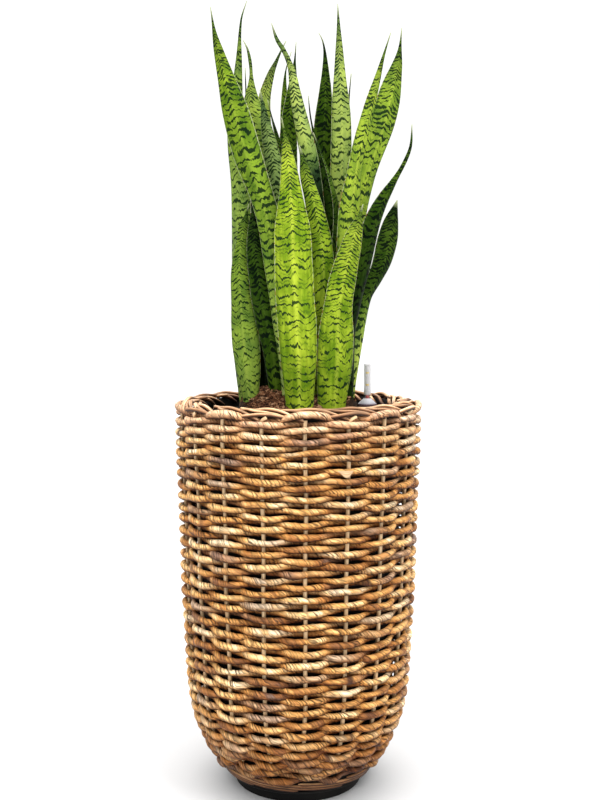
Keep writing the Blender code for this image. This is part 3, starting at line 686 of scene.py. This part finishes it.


# Leaves. Stiff, upright and channelled, yellow-green with dark zigzag bands that crowd
# together towards the tip, a pale edge, and a thin dry awl point. Each stands in the clay.
# One row for each: root, way points of the midrib, widths at the shares of its length in
# WIDTH_AT, and then from root to tip its facing, how dark it is, from its own deeper green and
# painted shade inside the clump, how grey, from a grey bloom and a painted sheen, and how wide its
# bands.
WIDTH_AT = (0, 0.12, 0.25, 0.4, 0.55, 0.65, 0.75, 0.83, 0.9, 0.95, 1)
LEAVES = {
    1: ((-5, -48), ((-15, -60, 671), (-40, -73, 837), (-54, -72, 892), (-79, -66, 965),
        (-108, -59, 1070), (-124, -57, 1131), (-132, -55, 1181)),
        (27.8, 33.5, 39.3, 38.4, 36.6, 43.9, 40.9, 27.1, 14.7, 5, 0.9), (-5, -15), (0, 0.3, 0.38, 0.2),
        (0.8, 0.2, 0.05, 0), 1.8),
    2: ((-60, 46), ((-61, 51, 739), (-68, 61, 900), (-83, 75, 1048), (-86, 82, 1117)),
        (22.9, 27.1, 30.2, 31, 31, 27.8, 19, 10.9, 3.4, 2.2, 0.9), (-128, -135), (0.7, 0.8), (0, 0),
        1.5),
    3: ((-77, -3), ((-90, -7, 677), (-90, 1, 832), (-92, 6, 921), (-99, 9, 1005), (-97, 9, 1052),
        (-93, 9, 1114), (-89, 9, 1177), (-80, 9, 1207)),
        (29.5, 37, 42.1, 40.2, 35.2, 34.6, 23.9, 14.8, 6.3, 3.2, 0.9), (-45, -20), (0.3, 0.38),
        (0.4, 0.3), 1.6),
    4: ((-69, -30), ((-80, -32, 663), (-86, -33, 730), (-89, -33, 785), (-85, -32, 838),
        (-75, -31, 886)), (27.4, 25, 39.2, 44.1, 34.6, 31.1, 24.6, 17.8, 16.7, 5.4, 0.9), (-14, -10),
        (0.25, 0.5), (0.3, 0.05), 1.1),
    5: ((-28, -22), ((-37, -44, 663), (-53, -50, 735), (-62, -50, 800), (-66, -46, 861),
        (-65, -42, 906)), (24.8, 25, 32.5, 36.9, 35.4, 33.1, 29.4, 22.8, 11.5, 3.4, 0.9), (-10, -5),
        (0.6, 0.9), (0, 0), 2.2),
    6: ((3, -73), ((2, -77, 612), (0, -84, 675), (-5, -92, 760), (-9, -97, 857), (-12, -97, 916),
        (-18, -97, 972), (-24, -97, 1007)),
        (37.5, 44, 56.7, 58.3, 55.5, 53.3, 35.7, 25.1, 14.7, 4.5, 0.9), (0, 0), (0, 0), (0, 0), 1.1),
    7: ((30, -38), ((34, -48, 665), (38, -60, 745), (36, -67, 814), (27, -72, 869), (14, -73, 918),
        (2, -70, 970)), (28.1, 33.2, 37, 38, 37.5, 34.3, 28.5, 22.5, 17.9, 8.2, 0.9), (5, 10),
        (0.15, 0.3), (0, 0), 1.3),
    8: ((50, -60), ((57, -71, 655), (59, -81, 715), (65, -89, 760), (79, -99, 821), (89, -105, 856),
        (95, -108, 879)), (38.7, 45.1, 53.9, 55.2, 43.7, 41.7, 35.6, 29.1, 19.5, 6.9, 0.9), (15, 5),
        (0.12, 0.1), (0, 0), 1.2),
    9: ((52, -18), ((62, -22, 640), (71, -32, 715), (77, -46, 820), (81, -53, 889), (90, -59, 957),
        (106, -62, 1020), (120, -65, 1072), (129, -64, 1107), (139, -64, 1140)),
        (28.1, 33.2, 37, 37.9, 37, 24.3, 22, 18.5, 9.5, 3.8, 0.9), (10, 35), (0.05, 0.18), (0.1, 0.1),
        1.5),
    10: ((72, 14), ((79, 1, 690), (85, -9, 790), (90, -15, 860), (103, -18, 921), (122, -18, 981),
        (138, -16, 1034), (147, -14, 1074), (156, -11, 1113), (161, -6, 1161)),
        (27.4, 32.3, 36, 36.6, 35.3, 33, 41.3, 36.5, 19.3, 5.5, 0.9), (35, 15), (0, 0.12, 0.22, 0.3),
        (0.1, 0.1), 1.7),
    11: ((46, 22), ((52, 22, 660), (60, 22, 755), (66, 23, 865), (69, 27, 1006), (67, 28, 1073),
        (65, 30, 1150), (63, 31, 1208)),
        (24.4, 28.8, 32.2, 33, 33.4, 33.6, 29.6, 19.1, 11.1, 5.4, 0.9), (20, 0), (0.2, 0.06),
        (0.5, 0.45), 1.6),
    12: ((24, 42), ((36, 46, 720), (43, 51, 802), (44, 61, 916), (42, 70, 998), (45, 80, 1088),
        (44, 87, 1141), (40, 90, 1164), (34, 91, 1176)),
        (22.2, 26.2, 29.2, 30, 30, 30, 32.2, 22.5, 11, 4.1, 0.9), (160, 168), (0.79, 0.66), (0, 0),
        2.1),
    13: ((14, 8), ((22, 0, 661), (31, -12, 785), (29, -14, 880), (19, -14, 948), (7, -13, 1005),
        (-5, -10, 1062), (-11, -8, 1098), (-22, -8, 1125), (-33, -8, 1143), (-41, -8, 1168)),
        (17.8, 21, 23.4, 24, 24, 28.2, 22.7, 16.8, 8.4, 6.6, 0.9), (15, -20),
        (1.2, 1.2, 1.2, 1.2, 1.2, 1.1, 0.85, 0.15, 0, 0.1, 0.3), (0.3, 0.5, 0.5), 1.6),
    14: ((-5, 31), ((-4, 34, 700), (-8, 41, 831), (-15, 46, 953), (-15, 51, 1014), (-9, 56, 1076),
        (-5, 61, 1126), (-3, 64, 1155)), (20.7, 24.5, 27.3, 28, 28, 28, 28, 22.4, 11.9, 3.5, 0.9),
        (180, 190), (0.75, 0.62), (0, 0), 1.7),
    15: ((-20, 54), ((-18, 64, 750), (-19, 93, 969), (-23, 106, 1052), (-21, 113, 1114),
        (-11, 117, 1151)), (21.5, 25.3, 28.3, 29, 29, 29, 29, 21.7, 10.2, 2.2, 0.9), (-140, -130),
        (0.65, 0.45), (0, 0), 1.7),
    16: ((-62, 22), ((-61, 24, 660), (-60, 38, 835), (-60, 53, 984), (-56, 60, 1061), (-45, 65, 1103),
        (-34, 65, 1127), (-27, 65, 1142), (-19, 64, 1157)),
        (20.7, 24.5, 27.3, 28, 28, 28, 42, 31.1, 18.4, 6.6, 0.9), (-120, -128), (1.25, 1, 0.2, 0.05),
        (0.1, 0.1, 0.5), 1.4),
    17: ((-44, 8), ((-42, -1, 720), (-40, -7, 850), (-44, -9, 920), (-58, -9, 979), (-72, -7, 1041),
        (-73, -6, 1096), (-78, -6, 1127), (-85, -5, 1142)),
        (20.7, 24.5, 27.3, 28, 28, 28, 43.2, 28.8, 6.6, 5.2, 0.9), (-30, -10), (1.15, 0.9, 0.3, 0.15),
        (0.1, 0.3), 1.4),
    18: ((-12, -4), ((-15, -19, 700), (-21, -31, 800), (-29, -36, 880), (-38, -37, 949),
        (-49, -38, 1009), (-55, -39, 1044), (-58, -39, 1059)),
        (17.8, 21, 23.4, 24, 24, 29, 28.2, 23.2, 15.2, 6.6, 0.9), (-40, 15), (0.6, 0.35), (0.7, 0.7),
        1.6),
    19: ((-40, 28), ((-36, 25, 700), (-30, 22, 830), (-24, 24, 927), (-31, 27, 983), (-41, 30, 1026),
        (-48, 32, 1056)), (18.5, 21.8, 24.4, 25, 25, 25, 22.9, 15.2, 7.3, 2.2, 0.9), (-145, -140),
        (0.9, 0.7), (0, 0), 1.5),
    20: ((42, 2), ((50, 4, 700), (56, 2, 790), (53, 5, 860), (42, 7, 923), (29, 10, 981),
        (20, 11, 1023), (16, 12, 1059)), (19.2, 22.7, 25.3, 26, 26, 26, 18.4, 10.7, 3.3, 2.2, 0.9),
        (30, 10), (1, 0.75), (0, 0), 1.6),
    21: ((20, -14), ((34, -20, 670), (52, -28, 754), (60, -32, 830), (59, -33, 880), (49, -35, 924),
        (37, -35, 959), (23, -37, 994)), (14.8, 17.5, 19.5, 20, 20, 18.1, 12.8, 7.9, 3.4, 2.2, 0.9),
        (30, 50), (0.8, 0.6), (0.1, 0.1), 1),
    22: ((55, 50), ((62, 58, 720), (69, 71, 831), (78, 93, 986), (84, 106, 1070), (88, 113, 1114)),
        (20, 23.6, 26.3, 27, 27, 27, 23.1, 14.7, 6.3, 2.2, 0.9), (128, 125), (0.7, 0.6), (0, 0), 1.2),
    23: ((76, -32), ((77, -38, 625), (78, -46, 690), (86, -53, 735), (100, -57, 795), (111, -58, 848),
        (125, -59, 884), (143, -57, 915), (160, -55, 945), (170, -54, 971), (172, -53, 1004)),
        (20, 24, 28, 28, 29, 30.9, 19.3, 8.4, 5.9, 3.7, 0.9), (45, 20), (0.98, 1, 0.78, 0.5), (0, 0),
        2.0),
    24: ((79, 0), ((84, -2, 610), (94, -6, 677), (105, -11, 739), (119, -14, 770), (131, -16, 797),
        (139, -17, 830), (145, -17, 862), (153, -16, 893)),
        (17, 19, 22, 22, 22, 29, 34.2, 34.6, 25.5, 13.7, 0.9), (55, 15), (0, 0, 0.2, 0.74, 0.71, 0.68),
        (0.3, 0.3, 0, 0), 2.1),
}
LEAF_MARKS = ("bands", "reach", "seed", "dark", "grey", "below", "heavy")
LEAF_ROOT = 545
ROOT_HALF, TIP_HALF = 2.9, 0.9
BAND_GAPS = (             # distance from the tip, gap between bands
    (0, 4.8), (90, 5.4), (130, 8), (165, 10), (215, 13.5), (300, 12.5), (1000, 12.5),
)


def midrib(points, share):
    """Point and direction at a share of the length of a smooth curve through the points."""
    spans = [(b - a).length for a, b in zip(points, points[1:])]
    want = share * sum(spans)
    i = 0
    while i < len(spans) - 1 and want > spans[i]:
        want -= spans[i]
        i += 1
    t = min(want / spans[i], 1)
    start, end = points[i], points[i + 1]
    before = points[i - 1] if i else start - (end - start)
    after = points[i + 2] if i + 2 < len(points) else end + (end - start)
    lead_in = (end - before) * (spans[i] / (end - before).length)
    lead_out = (after - start) * (spans[i] / (after - start).length)
    return cubic(start, end, lead_in, lead_out, t), cubic_heading(start, end, lead_in, lead_out, t)


def leaf_section(spec, share, seed):
    """Gives a function that places a point of one cross-section: u runs from margin to margin,
    face is 1 on the convex side, -1 in the channel and 0 between them. In millimetres."""
    root, way, widths, turn = spec[:4]
    points = [Vector((*root, LEAF_ROOT))] + [Vector(p) for p in way]
    place, heading = midrib(points, share)
    facing = math.radians(turn[0] + (turn[1] - turn[0]) * share)
    side = Vector((math.cos(facing), math.sin(facing), 0))
    side = (side - heading * side.dot(heading)).normalized()
    outward = side.cross(heading).normalized()
    half_width = smooth_curve(tuple(zip(WIDTH_AT, widths)), share) / 2
    half_thick = ROOT_HALF + (TIP_HALF - ROOT_HALF) * share
    arc = math.radians(52 - 28 * min(share / 0.5, 1))
    wave = [drift(share * 9, seed * 3.3, edge * 7.0) for edge in (0, 1)]

    def spot(u, face):
        swing = u * arc
        margin = wave[0] if u < 0 else wave[1]
        half = half_width * (1 + 0.05 * margin * abs(u))
        across = half * math.sin(swing) / math.sin(arc)
        depth = half * (math.cos(swing) - (1 + math.cos(arc)) / 2) / math.sin(arc)
        depth += 0.035 * half_width * margin * u * u
        depth += 0.20 * half * (0.5 - abs(u))
        lens = face * half_thick * math.sqrt(max(0, 1 - u * u))
        across += lens * math.sin(swing)
        depth += lens * math.cos(swing)
        return place + side * across + outward * depth

    return spot


def leaf_tissue():
    """Banded leaf skin. The bands follow the leaf: two sagging curves side by side low down, a
    steep herringbone higher up, all broken and jagged along the veins."""
    paint, surface = plain_material("leaf_tissue", 0.42, 0.02)
    skin = node(paint, "UVMap", uv_map="leaf")
    across = maths(paint, "MULTIPLY_ADD", axis(paint, skin, 0), 2.0, -1.0)
    share = axis(paint, skin, 1)
    side = maths(paint, "ABSOLUTE", across)
    phase, reach, seed, dark, grey, below, heavy = (mark(paint, name) for name in LEAF_MARKS)

    def patches(x, y, z, detail, rough=0.5):
        """Noise that changes x times in a millimetre across and y times from band to band."""
        where = node(paint, "CombineXYZ", {
            0: times(paint, reach, x), 1: times(paint, phase, y),
            2: maths(paint, "ADD", seed, z)})
        return cloudy(paint, where, detail=detail, rough=rough)

    down = maths(paint, "DIVIDE", below, 200.0)
    high = ramp(paint, down, (0.55, 1.0), (0.88, 0.0))
    sag = maths(paint, "ABSOLUTE", maths(paint, "SINE", times(paint, across, math.pi)))
    sag = times(paint, sag, maths(paint, "MULTIPLY_ADD", high, -0.1, 0.36))
    slope = maths(paint, "MINIMUM", times(paint, side, 1.7),
                  times(paint, maths(paint, "ABSOLUTE", reach), 0.12))
    slope = times(paint, slope, high)
    wander = times(paint, patches(0.07, 0.4, 0.0, 1.0), 1.7)
    teeth = times(paint, patches(0.27, 0.7, 4.0, 3.0, 0.7), 1.2)
    line = maths(
        paint, "ADD", maths(paint, "ADD", phase, sag), maths(paint, "ADD", slope, wander))
    line = maths(paint, "ADD", line, teeth)
    near = times(paint, maths(paint, "PINGPONG", line, 0.5), 2.0)
    wide = ramp(paint, patches(0.10, 0.8, 9.0, 3.0), (0.36, 0.0), (0.48, 0.17), (0.66, 0.36))
    wide = times(paint, wide, maths(paint, "MULTIPLY_ADD", high, 0.8, heavy))
    band = maths(paint, "DIVIDE", maths(paint, "SUBTRACT", wide, near), 0.09, clamp=True)
    faint = times(paint, maths(paint, "PINGPONG", times(paint, line, 2.0), 0.5), 2.0)
    faint = maths(paint, "DIVIDE", maths(paint, "SUBTRACT", ramp(
        paint, patches(0.09, 1.1, 21.0, 2.0), (0.42, 0.0), (0.66, 0.6)), faint), 0.3, clamp=True)
    cloud = ramp(paint, patches(0.06, 0.3, 13.0, 4.0), (0.36, 0.0), (0.62, 1.0))
    colour = blend(paint, cloud, (0.135, 0.240, 0.009), (0.375, 0.495, 0.030))
    streak = patches(0.30, 0.10, 17.0, 3.0)
    colour = tinted(paint, colour, ramp(paint, streak, (0.3, 0.80), (0.7, 1.16)))
    tip = ramp(paint, down, (0.05, 0.55), (0.55, 0.0))
    colour = blend(paint, tip, colour, (0.52, 0.60, 0.07))
    # Painted highlight: a lighter strip along the ridge of the midrib.
    middle = ramp(paint, side, (0.0, 0.42), (0.16, 0.0))
    colour = blend(paint, middle, colour, (0.60, 0.70, 0.07))
    # Grey by the grey mark: partly a grey bloom and partly a painted sheen.
    colour = blend(paint, times(paint, grey, 0.75), colour, (0.47, 0.53, 0.23))
    colour = blend(paint, times(paint, faint, 0.7), colour, (0.06, 0.12, 0.012))
    colour = blend(paint, times(paint, band, 0.94), colour, (0.008, 0.026, 0.010))
    # Darker by the dark mark: partly the leaf's own deeper green, partly painted shade on the leaves
    # and leaf bases that stand inside the clump.
    deep = ramp(
        paint, dark, (0.0, 1.0), (0.3, (0.60, 0.68, 0.66)), (0.5, (0.32, 0.42, 0.42)),
        (0.75, (0.09, 0.145, 0.18)), (1.0, (0.025, 0.05, 0.07)))
    colour = tinted(paint, colour, deep)
    inner = ramp(paint, side, (0.78, 0.0), (0.90, 0.45), (0.95, 0.0))
    colour = blend(paint, inner, colour, (0.03, 0.07, 0.012))
    worn = patches(0.0, 1.3, 30.0, 2.0)
    dry = ramp(paint, worn, (0.56, 0.0), (0.60, 1.0))
    edge = blend(paint, dry, (0.62, 0.66, 0.42), (0.30, 0.10, 0.05))
    rind = times(paint, ramp(paint, side, (0.945, 0.0), (0.98, 1.0)),
                 ramp(paint, worn, (0.38, 0.08), (0.54, 0.9)))
    colour = blend(paint, rind, colour, edge)
    awl = ramp(paint, share, (0.86, 1.0), (0.94, (0.26, 0.34, 0.40)))
    colour = tinted(paint, colour, awl)
    point = ramp(paint, share, (0.965, 0.0), (0.995, 0.85))
    colour = blend(paint, point, colour, (0.40, 0.44, 0.24))
    wire(paint, colour, surface, "Base Color")
    wire(paint, ramp(paint, streak, (0.3, 0.52), (0.7, 0.38)), surface, "Roughness")
    relief(paint, surface, maths(paint, "ADD", streak, times(paint, band, 0.3)), 0.0006, 0.5)
    return paint


tissue = leaf_tissue()
STATIONS, AROUND = 88, 20
footprints = []
for number, spec in LEAVES.items():
    leaf = bmesh.new()
    skin_map = leaf.loops.layers.uv.new("leaf")
    bands, reach, seed, dark, grey, below, heavy = map(leaf.verts.layers.float.new, LEAF_MARKS)
    stations = [leaf_section(spec, i / STATIONS, number - 1) for i in range(STATIONS + 1)]
    from_tip, crowding = [0.0], [0.0]
    for upper, lower in zip(stations[::-1], stations[-2::-1]):
        step = (upper(0, 0) - lower(0, 0)).length
        from_tip.insert(0, from_tip[0] + step)
        crowding.insert(0, crowding[0] - step / smooth_curve(BAND_GAPS, from_tip[0]))
    foot = next(spot for spot in stations if spot(0, 0).z > 585)
    footprints.append([Vector((*foot(u / 4, 0).xy, 0)) for u in range(-4, 5)])
    bmesh.ops.create_grid(leaf, x_segments=STATIONS, y_segments=AROUND, size=1, calc_uvs=True)
    for vert in leaf.verts:
        i = round((vert.co.x + 1) / 2 * STATIONS)
        j = round((vert.co.y + 1) / 2 * AROUND)
        half = AROUND // 2
        face = 0 if j in (0, half, AROUND) else (1 if j < half else -1)
        u = -math.cos(math.pi * (j if j <= half else AROUND - j) / half)
        vert.co = stations[i](u, face) * MM
        vert[bands], vert[below], vert[seed], vert[heavy] = (
            crowding[i], from_tip[i], (number - 1) * 7.7, spec[6])
        vert[reach] = u * smooth_curve(tuple(zip(WIDTH_AT, spec[2])), i / STATIONS) / 2
        for tint, values in ((dark, spec[4]), (grey, spec[5])):
            places = [k / (len(values) - 1) for k in range(len(values))]
            vert[tint] = smooth_curve(tuple(zip(places, values)), i / STATIONS)
        for loop in vert.link_loops:
            loop[skin_map].uv = (u / 2 + 0.5, i / STATIONS)
    bmesh.ops.remove_doubles(leaf, verts=leaf.verts, dist=2e-6)
    bmesh.ops.holes_fill(leaf, edges=leaf.edges, sides=AROUND)
    put_in_place(f"blade_{number:02d}", leaf, tissue, "leaf", f"leaf_{number:02d}")


# Loose grains. The top layer of the clay, poured round the leaves: dull rough pebbles of
# three to six millimetres, each lying half sunk among its neighbours.
GRAINS = 4200
grains = bmesh.new()
for n in range(GRAINS):
    reach = 91 * math.sqrt((n + 0.5) / GRAINS)
    turn = n * 2.399963
    jog = Vector((drift(n * 0.71, 1.0, 2.0), drift(n * 0.53, 7.0, 4.0), 0)) * 3
    x, y = reach * math.sin(turn) + jog.x, -reach * math.cos(turn) + jog.y
    size = 1.9 + 1.0 * drift(n * 0.97, 3.0, 9.0)
    if math.hypot(x, y) > 91.5 - size:
        continue
    ground = Vector((x, y, 0))
    free = True
    for line in footprints:
        for a, b in zip(line, line[1:]):
            span = b - a
            t = min(max((ground - a).dot(span) / span.length_squared, 0), 1)
            if (ground - a - span * t).length < size + 1.0:
                free = False
    if not free:
        continue
    place = Vector((x, y, soil_top(math.hypot(x, y), x, y) + size * (0.35 + 0.5 * (n * 0.618 % 1))))
    grain = bmesh.ops.create_icosphere(grains, subdivisions=1, radius=1)
    long = 1.1 + 0.35 * drift(n * 0.37, 5.0, 5.0)
    for vert in grain["verts"]:
        lump = 1 + 0.35 * noise.noise(vert.co * 1.7 + Vector((n * 0.9, 0, 0)))
        shaped = Vector((vert.co.x * long, vert.co.y, vert.co.z * 0.85)) * (size * lump)
        spin = n * 1.7
        shaped = Vector((shaped.x * math.cos(spin) - shaped.y * math.sin(spin),
                         shaped.x * math.sin(spin) + shaped.y * math.cos(spin), shaped.z))
        vert.co = (place + shaped) * MM
put_in_place("clay_grains", grains, fired_clay("clay_grain", 0.78), "clay", sharp=25)


# Water gauge. A clear plastic tube on a wide clear cup that stands on the deck. Inside lie a
# dark float and, on top of it, a red pointer. Two plain yellow marks show the level.
GAUGE_X, GAUGE_Y = 109, 20
GAUGE_TOP = 638
UPPER_MARK, LOWER_MARK = 624.5, 605.7
CUP_TOP, SEAT = 574, 562.6


def clear_plastic():
    """Clear plastic, a little grey, with two plain yellow marks printed on the front."""
    paint, surface = plain_material("clear_plastic", 0.3, 0.2)
    place = own_place(paint)
    x = axis(paint, place, 0)
    y = axis(paint, place, 1)
    z = axis(paint, place, 2)
    front = maths(paint, "LESS_THAN", y, (GAUGE_Y - 1.5) * MM)
    middle = maths(paint, "COMPARE", x, GAUGE_X * MM, 2.6 * MM)
    upper = maths(paint, "COMPARE", z, UPPER_MARK * MM, 1.3 * MM)
    lower = maths(paint, "COMPARE", z, LOWER_MARK * MM, 1.4 * MM)
    marks = times(paint, times(paint, front, middle),
                  maths(paint, "MAXIMUM", upper, lower))
    haze = cloudy(paint, place, 120.0, 2.0)
    tint = ramp(paint, haze, (0.3, (0.70, 0.69, 0.70)), (0.7, (0.74, 0.73, 0.74)))
    tube = maths(paint, "DIVIDE", maths(paint, "SUBTRACT", z, CUP_TOP * MM), 0.04, clamp=True)
    tint = tinted(paint, tint, ramp(
        paint, tube, (0.02, (0.22, 0.14, 0.15)), (0.06, (0.46, 0.43, 0.48)),
        (0.11, (0.72, 0.73, 0.78)), (0.30, 1.0)))
    marks = times(paint, marks, 0.75)
    wire(paint, blend(paint, marks, tint, (0.80, 0.55, 0.03)), surface, "Base Color")
    wire(paint, maths(paint, "MAXIMUM", marks, ramp(
        paint, tube, (0.02, 0.40), (0.06, 0.85), (0.24, 0.85), (0.27, 0.06), (0.38, 0.06),
        (0.44, 0.75), (0.56, 0.75), (0.64, 0.50))), surface, "Alpha")
    return paint


clear = clear_plastic()
gauge = (GAUGE_X, GAUGE_Y)
put_in_place("gauge_tube", turned((
    (0, GAUGE_TOP), (5, GAUGE_TOP), (5.5, GAUGE_TOP - 0.5), (5.5, 586), (5.7, 584.2),
    (14.3, 576.2), (15, 575), (15, SEAT + 0.6), (14.4, SEAT), (11, SEAT), (11, 372), (9.8, 372),
    (9.8, 565.2), (13.6, 566.6), (13.6, 574.4), (5, 580.6), (3.4, 582.6), (3.4, GAUGE_TOP - 1.5),
    (0, GAUGE_TOP - 1.5),
), 40, gauge), clear, "clear", "gauge_housing", sharp=35)


def mottled_plastic(name, roughness, scale, detail, *stops):
    """Plain plastic, a little uneven in its colour."""
    paint, surface = plain_material(name, roughness)
    mottle = cloudy(paint, own_place(paint), scale, detail)
    wire(paint, ramp(paint, mottle, *stops), surface, "Base Color")
    return paint


float_dark = mottled_plastic(
    "float_plastic", 0.4, 160.0, 3.0, (0.3, (0.035, 0.020, 0.030)), (0.7, (0.085, 0.055, 0.075)))
put_in_place("gauge_body", turned((
    (0, 450), (8.6, 450), (9, 450.4), (9, 566.5), (12.6, 567.4), (12.6, 573.2), (12, 573.6), (0, 573.6),
), 32, gauge), float_dark, "float", "gauge_float", sharp=35)

red = mottled_plastic(
    "red_plastic", 0.3, 300.0, 2.0, (0.3, (0.45, 0.02, 0.015)), (0.7, (0.62, 0.04, 0.025)))
put_in_place("gauge_needle", turned((
    (0, 573.9), (2.6, 573.9), (2.4, 575.5), (1.4, 577), (1.6, 582.4), (2.7, 583.6), (2.9, 587),
    (2.2, 588.6), (0, 589),
), 20, gauge), red, "red", "gauge_pointer", sharp=35)


# Floor, light and camera. A plain pale floor that meets a pale sky without an edge, dim to both
# sides; a soft light from above the right, a weak one, and the camera a little above the rim.
FLOOR_PALE, HORIZON, ZENITH = 0.62, 1.02, 2.6
bm = bmesh.new()
bmesh.ops.create_grid(bm, x_segments=1, y_segments=1, size=30)
mesh = bpy.data.meshes.new("floor")
bm.to_mesh(mesh)
bm.free()
floor = stand("floor", mesh)
floor_paint, surface = plain_material("floor_paint", 0.9, 0.0)
surface.inputs["Base Color"].default_value = (FLOOR_PALE, FLOOR_PALE, FLOOR_PALE, 1)
mesh.materials.append(floor_paint)

sky = bpy.data.worlds.new("pale_sky")
sky.use_nodes = True
glow = sky.node_tree.nodes["Background"]
glow.inputs["Color"].default_value = (1, 1, 1, 1)
aim = node(sky, "TexCoord")
height = maths(sky, "MAXIMUM", axis(sky, aim, 2), 0.0)
sides = maths(sky, "ABSOLUTE", axis(sky, aim, 0))
level = times(sky, ramp(sky, sides, (0.35, 1.0), (0.75, 0.18)), HORIZON)
sky.node_tree.links.new(
    maths(sky, "MULTIPLY_ADD", times(sky, height, height), ZENITH, level), glow.inputs["Strength"])
bpy.context.scene.world = sky
for name, place, size, power in (
    ("soft_right", (1.3, -1.5, 2.5), 0.8, 26),
    ("soft_left", (-1.5, -1.4, 2.3), 1.0, 12),
):
    light = bpy.data.lights.new(name, "AREA")
    light.size = size
    light.energy = power
    lamp = stand(name, light)
    lamp.location = place
    lamp.rotation_euler = (Vector((0, 0, 0.6)) - Vector(place)).to_track_quat("-Z", "Y").to_euler()

lens = bpy.data.cameras.new("camera")
lens.sensor_fit = "VERTICAL"
lens.sensor_height = 36
lens.lens = 50.58
lens.shift_x, lens.shift_y = 0.0025, -0.1275
camera = stand("camera", lens)
camera.location = (0, -1.75, 0.742)
camera.rotation_euler = (math.pi / 2, 0, 0)
bpy.context.scene.camera = camera
bpy.context.scene.view_settings.view_transform = "Standard"
